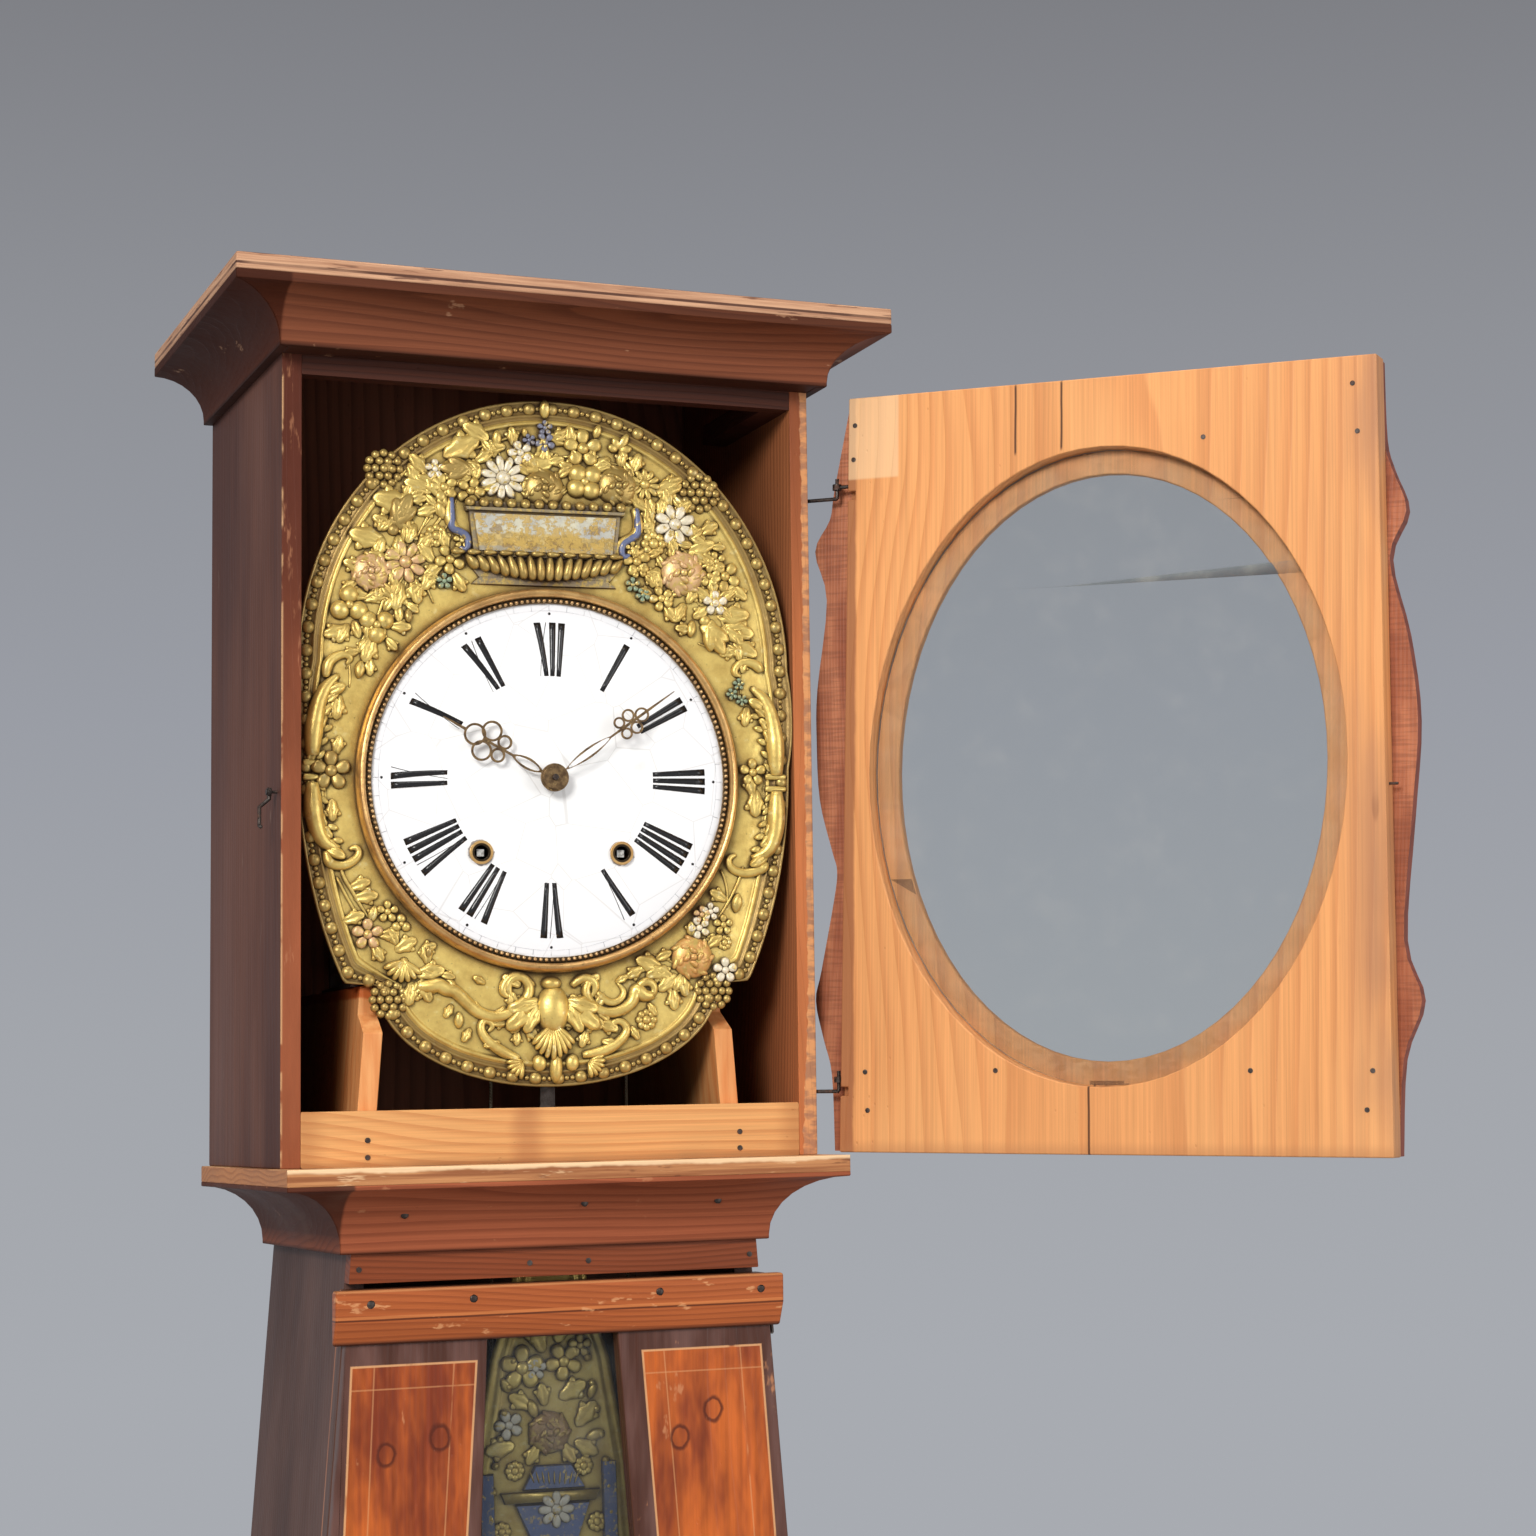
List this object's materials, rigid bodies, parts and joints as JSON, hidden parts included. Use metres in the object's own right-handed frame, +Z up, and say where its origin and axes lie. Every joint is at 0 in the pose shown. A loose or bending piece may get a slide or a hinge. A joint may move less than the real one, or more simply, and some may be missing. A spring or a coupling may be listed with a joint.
{
  "type": "pendulum clock",
  "caption": "Longcase pendulum clock with pine case, open hood door, stamped brass face round an enamel dial, pierced hands, weights and stamped pendulum",
  "frame": {"origin": "on the floor, under the middle of the hood's width and depth", "axes": "+Z up, the clock's front faces -Y, +X to the viewer's right when facing the dial"},
  "size_m": [0.7565, 0.5411, 2.321],
  "materials": {
    "pine": "old waxed pine, orange-brown",
    "dark_pine": "stained pine, dark grey-brown",
    "pale_pine": "bare pine, honey-coloured",
    "red_stained_wood": "red-brown stained wood",
    "iron": "dark wrought iron",
    "brass": "clean brass",
    "gilt_brass": "stamped gilt brass, aged",
    "dull_gilt": "stamped brass, dulled",
    "hand_metal": "brown-gold hands",
    "bell_metal": "turned bell metal",
    "enamel": "glossy white enamel",
    "glass": "old window glass",
    "cast_iron": "rough cast iron",
    "cord": "twisted gut line"
  },
  "bodies": {
    "case": {"hood_side_left": "pine", "hood_side_right": "pine", "hood_back": "dark_pine", "cap_board": "dark_pine", "head_rail": "pine", "bottom_rail": "pine", "cornice": "red_stained_wood", "ledge_cap": "pine", "ledge_cove": "pine", "frieze_rail": "pine", "trunk_side_left": "dark_pine", "trunk_side_right": "dark_pine", "trunk_back": "dark_pine", "trunk_bottom_rail": "pine", "base_front": "pine", "base_sides": "dark_pine", "base_back": "dark_pine", "base_shelves": "dark_pine", "base_moulding": "pine", "plinth": "dark_pine", "hinge_pins": "iron", "case_nails": "iron", "surround": "gilt_brass", "bezel": "brass", "dial": "enamel", "cage": "iron", "arbor_bars": "iron", "suspension_cock": "iron", "bell": "bell_metal", "going_line": "cord", "strike_line": "cord"},
    "hood_door": {"hood_door_board": "pale_pine", "hood_door_strips": "red_stained_wood", "hood_door_glass": "glass", "hood_door_irons": "iron"},
    "latch_hook": {"latch_hook": "iron"},
    "trunk_door": {"trunk_door_board": "pine", "trunk_door_moulding": "pine", "trunk_door_glass": "glass", "trunk_door_irons": "iron"},
    "turn_button": {"turn_button": "brass"},
    "going_barrel": {"going_barrel": "brass"},
    "going_great_wheel": {"going_great_wheel": "brass"},
    "second_wheel": {"second_wheel": "brass"},
    "third_wheel": {"third_wheel": "brass"},
    "escape_wheel": {"escape_wheel": "brass"},
    "anchor": {"anchor": "iron"},
    "pendulum": {"pendulum_rod": "iron", "pendulum_sheet": "dull_gilt"},
    "strike_barrel": {"strike_barrel": "brass"},
    "strike_great_wheel": {"strike_great_wheel": "brass"},
    "pin_wheel": {"pin_wheel": "brass"},
    "locking_wheel": {"locking_wheel": "brass"},
    "fly": {"fly": "brass"},
    "minute_hand": {"minute_hand": "hand_metal"},
    "minute_wheel": {"minute_wheel": "brass"},
    "hour_hand": {"hour_hand": "hand_metal"},
    "hammer": {"hammer": "iron"},
    "going_weight": {"going_weight": "cast_iron"},
    "strike_weight": {"strike_weight": "cast_iron"}
  },
  "joints": [
    {"name": "hood_door_hinge", "type": "hinge", "parent": "case", "child": "hood_door", "pos_m": [0.197, -0.1275, 1.7908], "axis": [0.0117, -0.005, 0.9999], "range_deg": [-133.5, 0]},
    {"name": "latch_hook_pivot", "type": "hinge", "parent": "case", "child": "latch_hook", "pos_m": [-0.1887, -0.108, 1.983], "axis": [-1, 0, 0], "range_deg": [0, 100]},
    {"name": "trunk_door_hinge", "type": "hinge", "parent": "case", "child": "trunk_door", "pos_m": [0.19771, -0.1165, 1], "axis": [-0.0768, 0, 0.997], "range_deg": [0, 100]},
    {"name": "turn_button_spin", "type": "hinge", "parent": "trunk_door", "child": "turn_button", "pos_m": [-0.16271, -0.1165, 1], "axis": [0, 1, 0], "range_deg": [0, 90]},
    {"name": "escape_spin", "type": "hinge", "parent": "case", "child": "escape_wheel", "pos_m": [0.00365, -0.06514, 2.03511], "axis": [0.0837, 0.9965, 0], "continuous": true},
    {"name": "third_spin", "type": "hinge", "parent": "case", "child": "third_wheel", "pos_m": [0.02757, -0.06715, 2.01957], "axis": [0.0837, 0.9965, 0], "continuous": true},
    {"name": "second_spin", "type": "hinge", "parent": "case", "child": "second_wheel", "pos_m": [0.04112, -0.06829, 1.9906], "axis": [0.0837, 0.9965, 0], "continuous": true},
    {"name": "going_great_spin", "type": "hinge", "parent": "case", "child": "going_great_wheel", "pos_m": [0.05108, -0.06912, 1.9457], "axis": [0.0837, 0.9965, 0], "continuous": true},
    {"name": "minute_spin", "type": "hinge", "parent": "case", "child": "minute_hand", "pos_m": [0.00365, -0.06514, 1.9955], "axis": [0.0837, 0.9965, 0], "continuous": true},
    {"name": "minute_wheel_spin", "type": "hinge", "parent": "case", "child": "minute_wheel", "pos_m": [0.00365, -0.06514, 1.9775], "axis": [0.0837, 0.9965, 0], "continuous": true},
    {"name": "hour_spin", "type": "hinge", "parent": "case", "child": "hour_hand", "pos_m": [0.00365, -0.06514, 1.9955], "axis": [0.0837, 0.9965, 0], "continuous": true},
    {"name": "fly_spin", "type": "hinge", "parent": "case", "child": "fly", "pos_m": [-0.0362, -0.06179, 2.04472], "axis": [0.0837, 0.9965, 0], "continuous": true},
    {"name": "locking_spin", "type": "hinge", "parent": "case", "child": "locking_wheel", "pos_m": [-0.04219, -0.06129, 2.02148], "axis": [0.0837, 0.9965, 0], "continuous": true},
    {"name": "pin_wheel_spin", "type": "hinge", "parent": "case", "child": "pin_wheel", "pos_m": [-0.03383, -0.06199, 1.9906], "axis": [0.0837, 0.9965, 0], "continuous": true},
    {"name": "strike_great_spin", "type": "hinge", "parent": "case", "child": "strike_great_wheel", "pos_m": [-0.04379, -0.06116, 1.9457], "axis": [0.0837, 0.9965, 0], "continuous": true},
    {"name": "pendulum_swing", "type": "hinge", "parent": "case", "child": "pendulum", "pos_m": [0.00159, -0.0896, 2.06752], "axis": [0.0837, 0.9965, 0], "range_deg": [-2.5, 2.5]},
    {"name": "anchor_rock", "type": "hinge", "parent": "case", "child": "anchor", "pos_m": [0.00532, -0.04521, 2.06752], "axis": [0.0837, 0.9965, 0], "range_deg": [-2.6, 2.6]},
    {"name": "hammer_swing", "type": "hinge", "parent": "case", "child": "hammer", "pos_m": [-0.06691, -0.00904, 2.12], "axis": [0.0837, 0.9965, 0], "range_deg": [-25, 0]},
    {"name": "going_weight_slide", "type": "slide", "parent": "case", "child": "going_weight", "axis": [0, 0, 1], "range_m": [0, 1.2], "deforming": ["going_line"]},
    {"name": "strike_weight_slide", "type": "slide", "parent": "case", "child": "strike_weight", "axis": [0, 0, 1], "range_m": [0, 1.2], "deforming": ["strike_line"]},
    {"name": "going_barrel_spin", "type": "hinge", "parent": "case", "child": "going_barrel", "pos_m": [0.05485, -0.02428, 1.9457], "axis": [0.0837, 0.9965, 0], "range_deg": [-3080, 10]},
    {"name": "strike_barrel_spin", "type": "hinge", "parent": "case", "child": "strike_barrel", "pos_m": [-0.04002, -0.01631, 1.9457], "axis": [0.0837, 0.9965, 0], "range_deg": [-3080, 10]}
  ],
  "couplings": [
    {"joint": "third_spin", "follows": "escape_spin", "ratio": -0.1},
    {"joint": "second_spin", "follows": "escape_spin", "ratio": 0.011111},
    {"joint": "going_great_spin", "follows": "escape_spin", "ratio": -0.0010582},
    {"joint": "minute_spin", "follows": "escape_spin", "ratio": -0.022222},
    {"joint": "minute_wheel_spin", "follows": "escape_spin", "ratio": 0.0074074},
    {"joint": "hour_spin", "follows": "escape_spin", "ratio": -0.0018519},
    {"joint": "locking_spin", "follows": "fly_spin", "ratio": -0.11111},
    {"joint": "pin_wheel_spin", "follows": "fly_spin", "ratio": 0.012346},
    {"joint": "strike_great_spin", "follows": "fly_spin", "ratio": -0.0011758},
    {"joint": "anchor_rock", "follows": "pendulum_swing", "ratio": 1},
    {"joint": "going_barrel_spin", "follows": "going_weight_slide", "rad_per_m": -44.643},
    {"joint": "strike_barrel_spin", "follows": "strike_weight_slide", "rad_per_m": -44.643}
  ]
}
